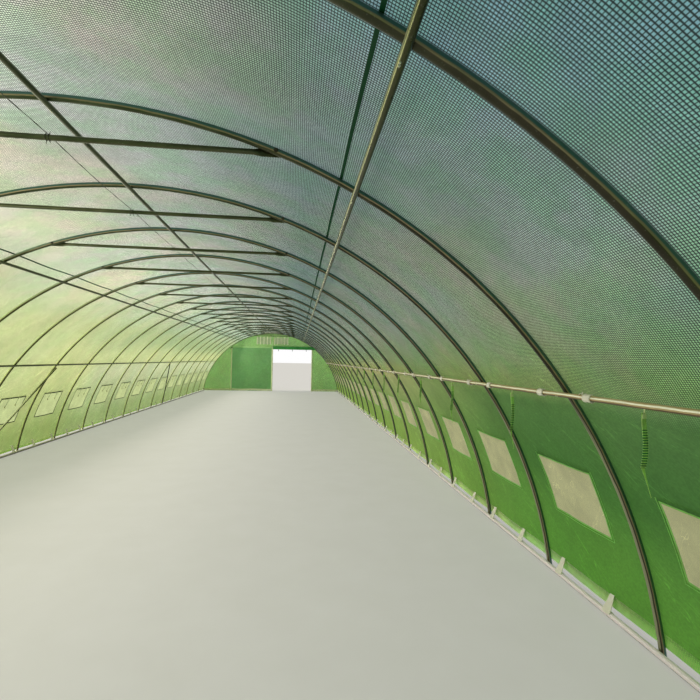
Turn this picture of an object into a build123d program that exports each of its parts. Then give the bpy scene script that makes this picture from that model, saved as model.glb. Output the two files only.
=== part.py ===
from build123d import *
import os
from math import acos, cos, degrees, radians, sin, sqrt

os.makedirs("parts", exist_ok=True)

# Tunnel, in millimetres: X across, Y along, Z up from the ground
bay_length = 1000.0        # spacing of the hoops along the tunnel
bay_count = 20             # bays between the two gable hoops
half_span = 2880.0         # middle of the tunnel to the middle of a hoop's foot
crown_height = 2505.0      # ground to the middle of the hoop tube at the crown

# Tubes
hoop_size = 32.0           # hoop tube
purlin_size = 25.0         # ridge and shoulder purlins
rail_size = 25.0           # side rails at waist height
base_rail_size = 32.0      # rails on the ground inside the feet
tie_size = 25.0            # tie bar under the crown of a hoop
brace_size = 25.0          # slanting wind brace
post_size = 32.0           # gable posts
header_size = 25.0         # bar over the gable doors
wire_size = 4.0            # wire along the tie bars
seat_gap = 0.3             # clear space between pieces that rest on each other

# Places on the arch: two angles from the crown in degrees, and a height
purlin_angle = 27.4        # shoulder purlins
seam_angle = 25.6          # seams between the roof and shoulder panels of the film
rail_height = 1277.4       # ground to a side rail's place on the arch, where shoulder and skirt film meet

# Tie bars
tie_drop = 166.0           # middle of the hoop tube at the crown down to the middle of a tie bar
tie_paddle_thickness = 5.0 # bar pressed flat, between the hoop's side and the bolt head
tie_paddle_height = 38.0
tie_paddle_length = 90.0   # flat end that is bolted to the side of the hoop
tie_paddle_inset = 3.0     # edge of a flat end inside the outer line of the hoop
tie_taper_length = 35.0    # from the round bar to its flat end
tie_overhang = 22.0        # paddle end beyond the middle of the hoop tube

# Film cover
film_thickness = 3.0
film_hem_height = 42.0     # lower edge of the side film above the ground
panel_gap = 0.5            # between two film panels that meet at a seam
mesh_thickness = 1.5       # insect mesh in the windows

# Windows in the skirt film, one in each bay
window_width = 520.0
window_low = 474.0         # lower edge above the ground
window_high = 822.0        # upper edge above the ground
flap_roll_size = 14.0      # rolled-up cover at the top of each window, outside
flap_roll_spare = 8.0      # length of a roll beyond each side of its window
flap_roll_rise = 9.0       # middle of the roll above the window, along the film

# Gables, measured down from the crown and in from the hoop
door_head_drop = 645.0     # middle of the hoop tube at the crown down to the top of a doorway
door_inner_edge = 28.0     # middle of the tunnel to the inner edge of a doorway
door_edge_inset = 24.0     # outer edge of a doorway inside the middle of its jamb post
header_rise = 30.0         # top of a doorway up to the middle of the header bar
header_overhang = 30.0     # header bar end beyond the inner side of the hoop
jamb_clearance = 21.9      # inner side of the hoop to a jamb post, at the header bar
gable_window_drop = 175.0  # middle of the hoop tube at the crown down to the top of a gable window
gable_window_rise = 290.0  # height of a gable window
gable_window_inner = 60.0  # middle of the tunnel to a gable window
gable_window_width = 620.0
gable_hem_height = 8.0     # lower edge of the gable film above the ground
door_gap = 0.5             # zip line between a door panel and the gable film
door_roll_size = 92.0      # rolled-up door panel
door_roll_rise = 40.0      # top of the doorway up to the middle of the door roll

# Wind braces on the left side
brace_hoops = ((6, 7), (14, 13))  # foot hoop and top hoop of each, counted from the front gable
brace_foot_rise = 42.0     # top of the base rail up to the foot of a brace
brace_top_drop = 75.0      # side rail down to the upper end of a brace
brace_overhang = 34.0      # brace beyond the middle of each hoop
brace_press = 5.0          # depth of the flat that seats a brace end on its hoop

# Worked out from the sizes above
tunnel_length = bay_length * bay_count
arch_radius = (half_span**2 + crown_height**2) / (2 * crown_height)
centre_height = crown_height - arch_radius
hoop_inside = arch_radius - hoop_size / 2 - seat_gap
film_inside = arch_radius + hoop_size / 2 + seat_gap
film_outside = film_inside + film_thickness
tie_height = crown_height - tie_drop
door_height = crown_height - door_head_drop
header_height = door_height + header_rise
gable_window_high = crown_height - gable_window_drop
gable_window_low = gable_window_high - gable_window_rise
hoop_places = [bay_length * n - tunnel_length / 2 for n in range(bay_count + 1)]
gable_inside = tunnel_length / 2 + hoop_size / 2 + seat_gap
gable_outside = gable_inside + film_thickness


def arch_point(angle, radius):
    """X and Z of the point at an angle from the crown, on an arch of this radius."""
    turn = radians(angle)
    return radius * sin(turn), centre_height + radius * cos(turn)


def arch_angle(height, radius):
    """Angle from the crown at which an arch of this radius has this height."""
    return degrees(acos((height - centre_height) / radius))


def arch_half_width(height, radius):
    """Distance from the middle of the tunnel to an arch of this radius at this height."""
    return sqrt(radius**2 - (height - centre_height) ** 2)


def arch_arc(radius, start, end):
    """Arc in the XZ plane between two angles from the crown."""
    middle = (start + end) / 2
    points = [arch_point(angle, radius) for angle in (start, middle, end)]
    return ThreePointArc(*[(x, 0, z) for x, z in points])


def band_face(inner, outer, start, end):
    """Face between two arcs in the XZ plane, from one angle to another."""
    low = arch_arc(inner, start, end)
    high = arch_arc(outer, start, end)
    return make_face([low, high, Line(low @ 0, high @ 0), Line(low @ 1, high @ 1)])


def arch_band(inner, outer, start, end, length, middle=0.0):
    """Curved panel that runs along the tunnel for a length, about a middle."""
    face = band_face(inner, outer, start, end)
    return Pos(0, middle, 0) * extrude(face, amount=length / 2, dir=(0, 1, 0), both=True)


def arch_solid(radius, place):
    """Round block on the arch's axis that trims a piece to a radius, about a Y."""
    block = Cylinder(radius, 4 * bay_length)
    return Pos(0, place, centre_height) * Rot(90, 0, 0) * block


def tube_along(size, x, z, low, high):
    """Straight tube along the tunnel, from one Y to another."""
    middle = (low + high) / 2
    return Pos(x, middle, z) * Rot(90, 0, 0) * Cylinder(size / 2, high - low)


def tube_between(size, start, end):
    """Straight tube from one point to another."""
    path = Line(start, end)
    return sweep(Plane(origin=start, z_dir=path % 0) * Circle(size / 2), path=path)


def save(name, *solids):
    """Write one sub-part, with all of its solids, under its own name."""
    shape = solids[0] if len(solids) == 1 else Compound(list(solids))
    shape.label = name
    export_step(shape, f"parts/{name}.step")


def hoop(place):
    """Arch tube from foot to foot, cut flat where it stands on the ground, about a Y."""
    ring = Pos(0, place, centre_height) * Rot(90, 0, 0) * Torus(arch_radius, hoop_size / 2)
    return split(ring, bisect_by=Plane.XY, keep=Keep.TOP)


def tie_end(bar_end, tip):
    """Bar pressed from round to a flat end, from one distance across to another."""
    taper_end = bar_end + tie_taper_length
    round_outline = Plane.YZ.offset(bar_end) * Circle(tie_size / 2)
    flat_outline = Plane.YZ.offset(taper_end) * Ellipse(tie_paddle_thickness / 2, tie_paddle_height / 2)
    return loft([round_outline, flat_outline]) + extrude(flat_outline, amount=tip - taper_end)


def tie_bar(place):
    """Bar across the crown of a hoop, on its side towards the tunnel's middle."""
    inward = 1 if place < 0 else -1
    offset = hoop_size / 2 + seat_gap + tie_paddle_thickness / 2
    tip = arch_half_width(tie_height, arch_radius) + tie_overhang
    bar_end = tip - tie_paddle_length - tie_taper_length
    end = tie_end(bar_end, tip)
    whole = Rot(0, 90, 0) * Cylinder(tie_size / 2, 2 * bar_end) + end + mirror(end, about=Plane.YZ)
    under_film = arch_solid(arch_radius + hoop_size / 2 - tie_paddle_inset, place)
    return (Pos(0, place + inward * offset, tie_height) * whole) & under_film


def wind_brace(foot_hoop, top_hoop):
    """Slanting tube from the foot of one hoop to waist height on the next."""
    low_angle = arch_angle(base_rail_size + brace_foot_rise, arch_radius)
    high_angle = arch_angle(rail_height - brace_top_drop, arch_radius)
    seat = hoop_inside - brace_size / 2 + brace_press
    low_x, low_z = arch_point(-low_angle, seat)
    high_x, high_z = arch_point(-high_angle, seat)
    start = Vector(low_x, hoop_places[foot_hoop], low_z)
    end = Vector(high_x, hoop_places[top_hoop], high_z)
    spare = (end - start).normalized() * brace_overhang
    return tube_between(brace_size, start - spare, end + spare) & arch_solid(hoop_inside, start.Y)


def gable_frame(side):
    """Middle post, two jamb posts and the header bar of one gable."""
    place = side * tunnel_length / 2
    room = arch_solid(hoop_inside, place)
    standing = (Align.CENTER, Align.CENTER, Align.MIN)
    jamb = Cylinder(post_size / 2, crown_height, align=standing)
    jambs = [(Pos(x, place, 0) * jamb) & room for x in (-jamb_offset, jamb_offset)]
    post_top = crown_height - hoop_size / 2 - purlin_size - 2 * seat_gap
    post = Pos(0, place, 0) * Cylinder(post_size / 2, post_top, align=standing)
    header_place = place - side * (post_size / 2 + seat_gap + header_size / 2)
    half = arch_half_width(header_height, hoop_inside) + header_overhang
    header = Pos(0, header_place, header_height) * Rot(0, 90, 0) * Cylinder(header_size / 2, 2 * half)
    return [post, *jambs, header]


def upright_sheet(x_low, x_high, z_low, z_high, side, inner, outer):
    """Flat sheet across the tunnel, between two distances from its middle."""
    size = (x_high - x_low, outer - inner, z_high - z_low)
    middle = ((x_low + x_high) / 2, side * (inner + outer) / 2, (z_low + z_high) / 2)
    return Pos(*middle) * Box(*size)


def doorway(side, hand, spare):
    """Space of one doorway in a gable, grown by a spare on its closed edges."""
    edges = sorted((hand * (door_inner_edge - spare), hand * (door_half_width + spare)))
    return upright_sheet(*edges, -spare, door_height + spare, side, gable_inside, gable_outside)


def gable_window(side, hand, inner, outer):
    """Flat piece that fills one gable window, between two distances."""
    edges = sorted((hand * gable_window_inner, hand * (gable_window_inner + gable_window_width)))
    return upright_sheet(*edges, gable_window_low, gable_window_high, side, inner, outer)


def gable_film(side):
    """Film over one gable, with its two doorways and two windows cut out."""
    middle = side * (gable_inside + gable_outside) / 2
    disc = Pos(0, middle, centre_height) * Rot(90, 0, 0) * Cylinder(film_inside - seat_gap, film_thickness)
    above_hem = (-film_outside, film_outside, gable_hem_height, film_outside)
    sheet = disc & upright_sheet(*above_hem, side, gable_inside, gable_outside)
    for hand in (-1, 1):
        sheet -= doorway(side, hand, 0)
        sheet -= gable_window(side, hand, gable_inside, gable_outside)
    return sheet


def door_panel(side, hand):
    """Closed film door, hemmed just above the ground, inside its zip line."""
    edges = sorted((hand * (door_inner_edge + door_gap), hand * (door_half_width - door_gap)))
    top = door_height - door_gap
    return upright_sheet(*edges, gable_hem_height, top, side, gable_inside, gable_outside)


def door_roll(side, hand):
    """Film door rolled up and tied outside the top of its doorway."""
    width = door_half_width - door_inner_edge
    middle = hand * (door_half_width + door_inner_edge) / 2
    place = side * (gable_outside + seat_gap + door_roll_size / 2)
    roll = Rot(0, 90, 0) * Cylinder(door_roll_size / 2, width)
    return Pos(middle, place, door_height + door_roll_rise) * roll


def window_middle(bay):
    """Y of the middle of the window in a bay."""
    return (hoop_places[bay] + hoop_places[bay + 1]) / 2


def window_band(side, bay, inner, outer):
    """Curved piece that fills one side window between two radii."""
    low = side * arch_angle(window_low, film_inside)
    high = side * arch_angle(window_high, film_inside)
    return arch_band(inner, outer, high, low, window_width, window_middle(bay))


def skirt_film(side):
    """Side film from the side rail down to its hem, with a window in each bay."""
    start = rail_angle + degrees(panel_gap / film_inside)
    end = arch_angle(film_hem_height, film_inside)
    sheet = arch_band(film_inside, film_outside, side * start, side * end, 2 * gable_outside)
    deep = film_thickness
    cuts = [window_band(side, bay, film_inside - deep, film_outside + deep) for bay in range(bay_count)]
    return sheet - cuts


def window_meshes(side):
    """Insect mesh of every window on one side, in the middle of the film."""
    inner = film_inside + (film_thickness - mesh_thickness) / 2
    return [window_band(side, bay, inner, inner + mesh_thickness) for bay in range(bay_count)]


def flap_rolls(side):
    """Rolled-up window covers, outside the film above each window."""
    angle = arch_angle(window_high, film_outside) - degrees(flap_roll_rise / film_outside)
    x, z = arch_point(side * angle, film_outside + seat_gap + flap_roll_size / 2)
    half = window_width / 2 + flap_roll_spare
    middles = [window_middle(bay) for bay in range(bay_count)]
    return [tube_along(flap_roll_size, x, z, middle - half, middle + half) for middle in middles]


# Places that follow from the arch
rail_angle = arch_angle(rail_height, arch_radius)
jamb_offset = arch_half_width(header_height, hoop_inside) - jamb_clearance - post_size / 2
door_half_width = jamb_offset - door_edge_inset

# Hoops, from the front gable to the back gable
for number, place in enumerate(hoop_places, start=1):
    save(f"hoop_{number:02d}", hoop(place))

# Tubes along the tunnel
tube_end = tunnel_length / 2 + hoop_size / 2
purlin_radius = hoop_inside - purlin_size / 2
rail_radius = hoop_inside - rail_size / 2
base_rail_x = arch_half_width(base_rail_size / 2, hoop_inside - base_rail_size / 2)
save("ridge_purlin", tube_along(purlin_size, *arch_point(0, purlin_radius), -tube_end, tube_end))
for name, side in (("left", -1), ("right", 1)):
    purlin_place = arch_point(side * purlin_angle, purlin_radius)
    rail_place = arch_point(side * rail_angle, rail_radius)
    save(f"{name}_purlin", tube_along(purlin_size, *purlin_place, -tube_end, tube_end))
    save(f"{name}_side_rail", tube_along(rail_size, *rail_place, -tube_end, tube_end))
    base_place = (side * base_rail_x, base_rail_size / 2)
    save(f"{name}_base_rail", tube_along(base_rail_size, *base_place, -tube_end, tube_end))

# Tie bars, their wire and the wind braces
save("tie_bars", *[tie_bar(place) for place in hoop_places[1:-1]])
wire_height = tie_height + tie_size / 2 + seat_gap + wire_size / 2
wire_end = tunnel_length / 2 - post_size / 2 - seat_gap
save("centre_wire", tube_along(wire_size, 0, wire_height, -wire_end, wire_end))
save("wind_braces", *[wind_brace(foot, top) for foot, top in brace_hoops])

# Film cover
seam_gap = degrees(panel_gap / film_inside)
save("roof_film", arch_band(film_inside, film_outside, -seam_angle, seam_angle, 2 * gable_outside))
for name, side in (("left", -1), ("right", 1)):
    start, end = side * (seam_angle + seam_gap), side * rail_angle
    save(f"{name}_shoulder_film", arch_band(film_inside, film_outside, start, end, 2 * gable_outside))
    save(f"{name}_skirt_film", skirt_film(side))
    save(f"{name}_window_mesh", *window_meshes(side))
    save(f"{name}_window_flaps", *flap_rolls(side))

# Gables: the door on the right is rolled up and the door on the left is closed
mesh_inside = gable_inside + (film_thickness - mesh_thickness) / 2
for name, side in (("front", -1), ("back", 1)):
    save(f"{name}_gable_frame", *gable_frame(side))
    save(f"{name}_gable_film", gable_film(side))
    meshes = [gable_window(side, hand, mesh_inside, mesh_inside + mesh_thickness) for hand in (-1, 1)]
    save(f"{name}_gable_mesh", *meshes)
    save(f"{name}_closed_door", door_panel(side, -1))
    save(f"{name}_door_roll", door_roll(side, 1))
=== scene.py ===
"""Looks of a tunnel greenhouse: woven film, mesh windows, steel tubes and their small fixings."""
import math
import random

import bpy
import numpy as np
from mathutils import Matrix, Vector


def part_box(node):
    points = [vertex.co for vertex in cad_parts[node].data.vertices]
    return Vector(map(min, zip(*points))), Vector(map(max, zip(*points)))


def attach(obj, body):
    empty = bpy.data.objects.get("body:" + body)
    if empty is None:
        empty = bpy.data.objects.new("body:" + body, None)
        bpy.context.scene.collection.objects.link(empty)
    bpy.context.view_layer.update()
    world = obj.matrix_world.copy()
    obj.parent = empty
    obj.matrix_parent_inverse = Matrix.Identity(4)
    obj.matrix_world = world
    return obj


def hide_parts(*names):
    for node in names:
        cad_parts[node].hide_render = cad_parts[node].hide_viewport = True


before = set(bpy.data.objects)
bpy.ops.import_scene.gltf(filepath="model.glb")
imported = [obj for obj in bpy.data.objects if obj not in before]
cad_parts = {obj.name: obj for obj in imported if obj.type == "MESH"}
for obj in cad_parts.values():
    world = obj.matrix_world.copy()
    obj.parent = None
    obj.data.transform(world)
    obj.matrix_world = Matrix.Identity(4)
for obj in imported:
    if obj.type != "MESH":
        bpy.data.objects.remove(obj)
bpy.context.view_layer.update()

# Places and sizes read from the frame, in metres: X across, Y along the tunnel, Z up


def middle(node):
    """Middle of a node's box."""
    low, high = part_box(node)
    return (low + high) / 2


def half_height(node):
    """Half the height of a node's box, which is the radius of a level tube or roll."""
    low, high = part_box(node)
    return (high.z - low.z) / 2


hoop_nodes = sorted(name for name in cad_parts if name.startswith("hoop_"))
hoop_places = [middle(name).y for name in hoop_nodes]
bay = hoop_places[1] - hoop_places[0]
hoop_low, hoop_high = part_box(hoop_nodes[0])
hoop_radius = (hoop_high.y - hoop_low.y) / 2
crown = hoop_high.z - hoop_radius
arch_radius = (hoop_high.x**2 + crown**2 - hoop_radius**2) / (2 * hoop_high.z)
arch_middle = crown - arch_radius
film_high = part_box("roof_film")[1]
film_thickness = film_high.z - arch_middle - arch_radius - hoop_radius
film_radius = arch_radius + hoop_radius + film_thickness / 2
film_end = film_high.y
seam_across = film_radius * math.asin(film_high.x / (film_high.z - arch_middle))
shoulder_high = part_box("right_shoulder_film")[1]
rail_across = film_radius * math.asin(shoulder_high.x / (film_high.z - arch_middle))
skirt_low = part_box("right_skirt_film")[0]
tie_level = middle("tie_bars").z
rail_radius = half_height("right_side_rail")
base_radius = half_height("right_base_rail")
tie_radius = rail_radius
tie_flat_half = 0.0028
SIDES = ((-1, "left"), (1, "right"))
GABLE_ENDS = ((-1, "front"), (1, "back"))


def across_at(height):
    """Arc length from the crown down to a height, on the film."""
    return film_radius * math.acos((height - arch_middle) / film_radius)


hem_across = across_at(skirt_low.z)

# Windows in the skirt film, and how the film hangs between two hoops
window_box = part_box("right_window_mesh")
window_width = 2 * (window_box[1].y - hoop_places[-1] + bay / 2)
window_low, window_high = window_box[0].z, window_box[1].z
window_top_across = across_at(window_high)
window_foot_across = across_at(window_low)
film_sag = 0.009
film_unrest = 0.0028
hem_heights = {"left": 0.032, "right": 0.072}
door_low, door_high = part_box("back_closed_door")
door_head = door_high.z
window_middles = [place + bay / 2 for place in hoop_places[:-1]]

# Materials, as graphs of nodes


def colour(red, green, blue):
    """Linear colour from three numbers of 0 to 255, as screens show them."""
    shares = [part / 255 for part in (red, green, blue)]
    return tuple(s / 12.92 if s <= 0.04045 else ((s + 0.055) / 1.055) ** 2.4 for s in shares) + (1.0,)


class Paint:
    """A material or world under construction. Each call adds a node and gives its output."""

    def __init__(self, name, kind=bpy.data.materials):
        self.material = kind.new(name)
        self.material.use_nodes = True
        self.tree = self.material.node_tree
        self.tree.nodes.clear()

    def add(self, kind, inputs=None, output=0, **settings):
        """New node of a kind, with values or other outputs in its inputs."""
        node = self.tree.nodes.new("ShaderNode" + kind)
        for key, value in settings.items():
            setattr(node, key, value)
        for key, value in (inputs or {}).items():
            if isinstance(value, bpy.types.NodeSocket):
                self.tree.links.new(value, node.inputs[key])
            else:
                node.inputs[key].default_value = value
        return node.outputs[output]

    def sum(self, operation, *values):
        """Math node over values or outputs."""
        return self.add("Math", dict(enumerate(values)), operation=operation)

    def vector(self, operation, *values, output=0):
        """Vector math node over values or outputs."""
        return self.add("VectorMath", dict(enumerate(values)), output, operation=operation)

    def times(self, first, *others):
        """Product of values or outputs."""
        for other in others:
            first = self.sum("MULTIPLY", first, other)
        return first

    def parts(self, vector):
        """The three parts of a vector."""
        return self.add("SeparateXYZ", {"Vector": vector}).node.outputs

    def place(self):
        """Place in the piece's own frame, in metres."""
        return self.add("TexCoord", output=3)

    def seen_ray(self):
        """1 for rays that the camera sees straight or in a gloss."""
        rays = self.add("LightPath").node.outputs
        return self.sum("MAXIMUM", rays["Is Camera Ray"], rays["Is Glossy Ray"])

    def bump(self, height, strength, distance):
        """Normal that follows a fine relief."""
        return self.add("Bump", {"Height": height, "Strength": strength, "Distance": distance})

    def graded(self, base, level):
        """Colour made lighter or darker by a level."""
        grey = self.add("CombineXYZ", {0: level, 1: level, 2: level})
        return self.tint(base, 1.0, grey, "MULTIPLY")

    def thin_cloth(self, shown, normal, through, straight, clear, rough=0.0):
        """Shader that scatters light back and through, and lets a share of it pass straight."""
        front = self.add("BsdfDiffuse", {"Color": shown, "Roughness": rough, "Normal": normal})
        behind = self.add("BsdfTranslucent", {"Color": shown, "Normal": normal})
        body = self.add("MixShader", {0: through, 1: front, 2: behind})
        return self.add("MixShader", {0: straight, 1: body, 2: self.add("BsdfTransparent", {"Color": clear})})

    def smooth(self, value, low, high, start=0.0, end=1.0):
        """Value taken smoothly from one range to another."""
        inputs = {"Value": value, "From Min": low, "From Max": high, "To Min": start, "To Max": end}
        return self.add("MapRange", inputs, interpolation_type="SMOOTHSTEP")

    def tint(self, first, factor, second, blend="MIX"):
        """One colour mixed with another."""
        inputs = {0: factor, 6: first, 7: second}
        return self.add("Mix", inputs, 2, data_type="RGBA", blend_type=blend)

    def ramp(self, factor, stops):
        """Colours along a factor of 0 to 1."""
        node = self.tree.nodes.new("ShaderNodeValToRGB")
        self.tree.links.new(factor, node.inputs[0])
        elements = node.color_ramp.elements
        while len(elements) < len(stops):
            elements.new(0.5)
        for element, (place, value) in zip(elements, stops):
            element.position = place
            element.color = colour(*value)
        return node.outputs[0]

    def noise(self, vector, scale, detail=3.0, rough=0.55):
        """Soft noise of 0 to 1 about a half."""
        return self.add("TexNoise", {"Vector": vector, "Scale": scale, "Detail": detail, "Roughness": rough})

    def finish(self, shader, end="Material"):
        """Material or world with this shader as its surface."""
        output = self.tree.nodes.new("ShaderNodeOutput" + end)
        self.tree.links.new(shader, output.inputs["Surface"])
        return self.material


# Colours of the film round the arch, from the left foot over the crown to the right foot: the film's green
# with painted light and shade, as light falls through each part of the arch
FILM_LIGHT_ROUND = (
    (0.03, (140, 160, 95)),
    (0.14, (190, 200, 145)),
    (0.26, (200, 210, 160)),
    (0.36, (225, 230, 205)),
    (0.51, (210, 215, 205)),
    (0.64, (165, 185, 180)),
    (0.76, (195, 205, 185)),
    (0.83, (180, 205, 125)),
    (0.90, (150, 200, 100)),
    (1.00, (160, 225, 90)),
)

WEAVE_PITCHES = (0.0085, 0.0098)
WEAVE_LINES = (0.0021, 0.0035)
MESH_PITCHES = (0.0026, 0.0026)
MESH_LINES = (0.0010, 0.0010)
THROUGH = 0.74
STRAIGHT = 0.02


def weave(paint, uv, pitches, thread_widths):
    """1 in the cells of a weave and 0 on its lines, with a chance number for each cell."""
    parts = paint.parts(uv)
    masks = []
    for axis, pitch, line in zip((0, 1), pitches, thread_widths):
        distance = paint.sum("PINGPONG", parts[axis], pitch / 2)
        masks.append(paint.smooth(distance, line * 0.25, line * 0.75))
    cell = paint.times(*masks)
    whole = paint.vector("FLOOR", paint.vector("MULTIPLY", uv, (1 / pitches[0], 1 / pitches[1], 1)))
    chance = paint.add("TexWhiteNoise", {"Vector": whole}, noise_dimensions="2D")
    return cell, chance


def creases(paint, uv, turn, stretch, scale, thin=0.014):
    """Thin lines of 0 to 1 along one slanting direction, in patches."""
    inputs = {"Vector": uv, "Rotation": (0, 0, turn), "Scale": (1, 1 / stretch, 1)}
    turned = paint.add("Mapping", inputs, vector_type="TEXTURE")
    field = paint.noise(turned, scale, 2.0)
    away = paint.sum("ABSOLUTE", paint.sum("SUBTRACT", field, 0.5))
    lines = paint.smooth(away, 0.0, thin, 1.0, 0.0)
    patch = paint.smooth(paint.noise(turned, scale * 0.6, 1.0), 0.46, 0.6)
    return paint.times(lines, patch)


def between(paint, value, rise, fall):
    """1 where a value lies between a rise and a fall, each a pair of numbers."""
    return paint.times(paint.smooth(value, *rise), paint.smooth(value, fall[0], fall[1], 1.0, 0.0))


# Painted light and shade on the film along the tunnel


def fade_out(first, last):
    """Span of y, in bays from the front hoop, over which a tone goes from whole to none."""
    return hoop_places[0] + first * bay, hoop_places[0] + last * bay, 1.0, 0.0


def fade_in(first, last):
    """Span of y, in bays from the front hoop, over which a tone goes from none to whole."""
    return hoop_places[0] + first * bay, hoop_places[0] + last * bay, 0.0, 1.0


NO_RISE = (-9.0, -8.0)
NO_FALL = (8.0, 9.0)
SKIRT = (0.96, 1.0)
# Each tone of painted light and shade has its span of y, the rise and fall of the angle from the crown, and
# its colour
FILM_LIGHT_TONES = (
    (fade_out(0.0, 2.0), (0.35, 0.45), NO_FALL, (0.8, 1.0, 1.2)),
    (fade_out(0.8, 2.6), NO_RISE, (0.0, 0.2), (1.3, 1.2, 1.3)),
    (fade_out(0.5, 1.4), (0.2, 0.45), NO_FALL, (0.6, 0.8, 0.9)),
    (fade_out(1.1, 2.8), (0.76, 0.83), (0.97, 1.01), (0.8, 0.9, 1.0)),
    (fade_out(2.6, 4.1), SKIRT, (1.15, 1.3), (0.6, 0.7, 0.7)),
    (fade_out(2.6, 4.1), SKIRT, NO_FALL, (0.7, 0.9, 0.7)),
    (fade_in(3.6, 6.6), SKIRT, NO_FALL, (1.8, 1.3, 1.8)),
    (fade_in(4.0, 7.5), (0.86, 0.95), (0.97, 1.01), (1.5, 1.2, 1.4)),
    (fade_in(7.6, 9.4), NO_RISE, (-1.0, -0.94), (1.0, 1.0, 1.3)),
    (fade_in(5.0, 12.0), (-0.9, -0.75), (-0.3, 0.1), (0.7, 0.8, 0.8)),
)
FOOT_TURN = 1.43
FILM_CLEAR = (0.5, 0.9, 0.8, 1)
MESH_CLEAR = (0.92, 0.86, 0.7, 1)


def film_material(name, plain=None, through=THROUGH, line_dark=0.1, doubled=1.0, near=None, fade=None):
    """Woven film with threads, creases and a slight shine, in one plain colour or in the colours of the arch
    with their painted light and shade.
    """
    paint = Paint(name)
    uv = paint.add("UVMap", uv_map="cloth")
    place = paint.place()
    cell, chance = weave(paint, uv, WEAVE_PITCHES, WEAVE_LINES)
    if plain is None:
        x, y, z = paint.parts(place)
        turn = paint.sum("ARCTAN2", x, paint.sum("SUBTRACT", z, arch_middle))
        # Colours round the arch, with painted light and shade
        base = paint.ramp(paint.add("MapRange", {"Value": turn, 1: -FOOT_TURN, 2: FOOT_TURN}), FILM_LIGHT_ROUND)
        # Painted light and shade along the tunnel, patch by patch
        for span, rise, fall, tone in FILM_LIGHT_TONES:
            share = paint.times(paint.smooth(y, *span), between(paint, turn, rise, fall))
            base = paint.tint(base, share, tone + (1,), "MULTIPLY")
        low = paint.smooth(paint.sum("ABSOLUTE", turn), 0.8, 1.0, 0.3, 1.0)
        calm_right = paint.smooth(turn, 0.92, 1.02, 0.0, 0.75)
        calm = paint.sum("MAXIMUM", calm_right, paint.smooth(turn, -0.2, -0.8, 0.0, 0.6))
        lined = paint.sum("ADD", line_dark, paint.times(calm, 1.0 - line_dark))
        filled = paint.sum("SUBTRACT", 1.5, paint.times(calm, 0.95))
        folded = paint.add("CombineXYZ", {0: paint.sum("ABSOLUTE", paint.parts(uv)[0]), 1: y})
    else:
        base, low, calm = colour(*plain), 0.6, 0.5
        lined, filled = line_dark, 1.25
        # Painted shade: the plain colour darkens over a span of y, as the arch film does in the front bays
        if near:
            along = paint.parts(place)[1]
            base = paint.tint(base, paint.smooth(along, *near[0]), near[1] + (1,), "MULTIPLY")
        folded = paint.vector("ABSOLUTE", uv)
    hues = paint.smooth(paint.noise(place, 5.0, 3.0, 0.6), 0.32, 0.68)
    hue = paint.tint((0.86, 1.0, 0.9, 1), hues, (1.08, 0.98, 1.12, 1))
    base = paint.tint(base, paint.sum("SUBTRACT", 0.9, calm), hue, "MULTIPLY")
    wide = paint.smooth(paint.noise(place, 1.1, 2.0), 0.36, 0.64)
    warm = paint.tint((0.9, 1.0, 1.0, 1), wide, (1.06, 1.0, 0.88, 1))
    base = paint.tint(base, paint.sum("SUBTRACT", 0.7, paint.times(calm, 0.7)), warm, "MULTIPLY")
    patches = paint.smooth(paint.noise(place, 1.6, 4.0), 0.3, 0.7, 0.92, 1.08)
    dirt = paint.smooth(paint.noise(place, 9.0, 5.0, 0.7), 0.35, 0.75, 1.04, 0.93)
    uneven = paint.smooth(chance, 0.0, 1.0, 0.93, 1.07)
    threads = paint.add("MapRange", {"Value": cell, "To Min": lined, "To Max": filled})
    steep = paint.times(creases(paint, folded, -1.1, 11.0, 1.4), 0.7)
    lines = paint.times(paint.sum("ADD", creases(paint, folded, -0.7, 9.0, 1.6), steep), low)
    # Crease lines are painted up to 1.4 times lighter: painted highlights along the creases, beside their
    # relief in the bump
    level = paint.times(patches, dirt, uneven, threads, paint.smooth(lines, 0.0, 1.0, 1.0, 1.4), doubled)
    if fade:
        level = paint.times(level, paint.smooth(paint.sum("ABSOLUTE", paint.parts(uv)[0]), *fade))
    normal = paint.bump(paint.sum("ADD", paint.times(cell, 0.35), lines), 0.35, 0.0012)
    body = paint.thin_cloth(paint.graded(base, level), normal, through, STRAIGHT, FILM_CLEAR, 0.4)
    shine = paint.add("BsdfGlossy", {"Color": (1, 1, 1, 1), "Roughness": 0.55, "Normal": normal})
    share = paint.smooth(paint.add("LayerWeight", {"Blend": 0.25}, output=1), 0.0, 1.0, 0.012, 0.03)
    return paint.finish(paint.add("MixShader", {0: share, 1: body, 2: shine}))


def mesh_material(name, base):
    """Fine insect mesh, slightly crumpled, that the day shows through a little."""
    paint = Paint(name)
    uv = paint.add("UVMap", uv_map="cloth")
    place = paint.place()
    cell, chance = weave(paint, uv, MESH_PITCHES, MESH_LINES)
    patches = paint.smooth(paint.noise(place, 5.0, 4.0), 0.3, 0.7, 0.88, 1.06)
    threads = paint.smooth(cell, 0.0, 1.0, 1.05, 0.85)
    uneven = paint.smooth(chance, 0.0, 1.0, 0.95, 1.05)
    lines = creases(paint, uv, 0.5, 3.0, 5.0, 0.012)
    # Crease lines are painted up to 1.3 times lighter: painted highlights along the creases
    level = paint.times(patches, threads, uneven, paint.smooth(lines, 0.0, 1.0, 1.0, 1.3))
    normal = paint.bump(cell, 0.3, 0.0004)
    return paint.finish(paint.thin_cloth(paint.graded(colour(*base), level), normal, 0.6, 0.06, MESH_CLEAR))


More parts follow.
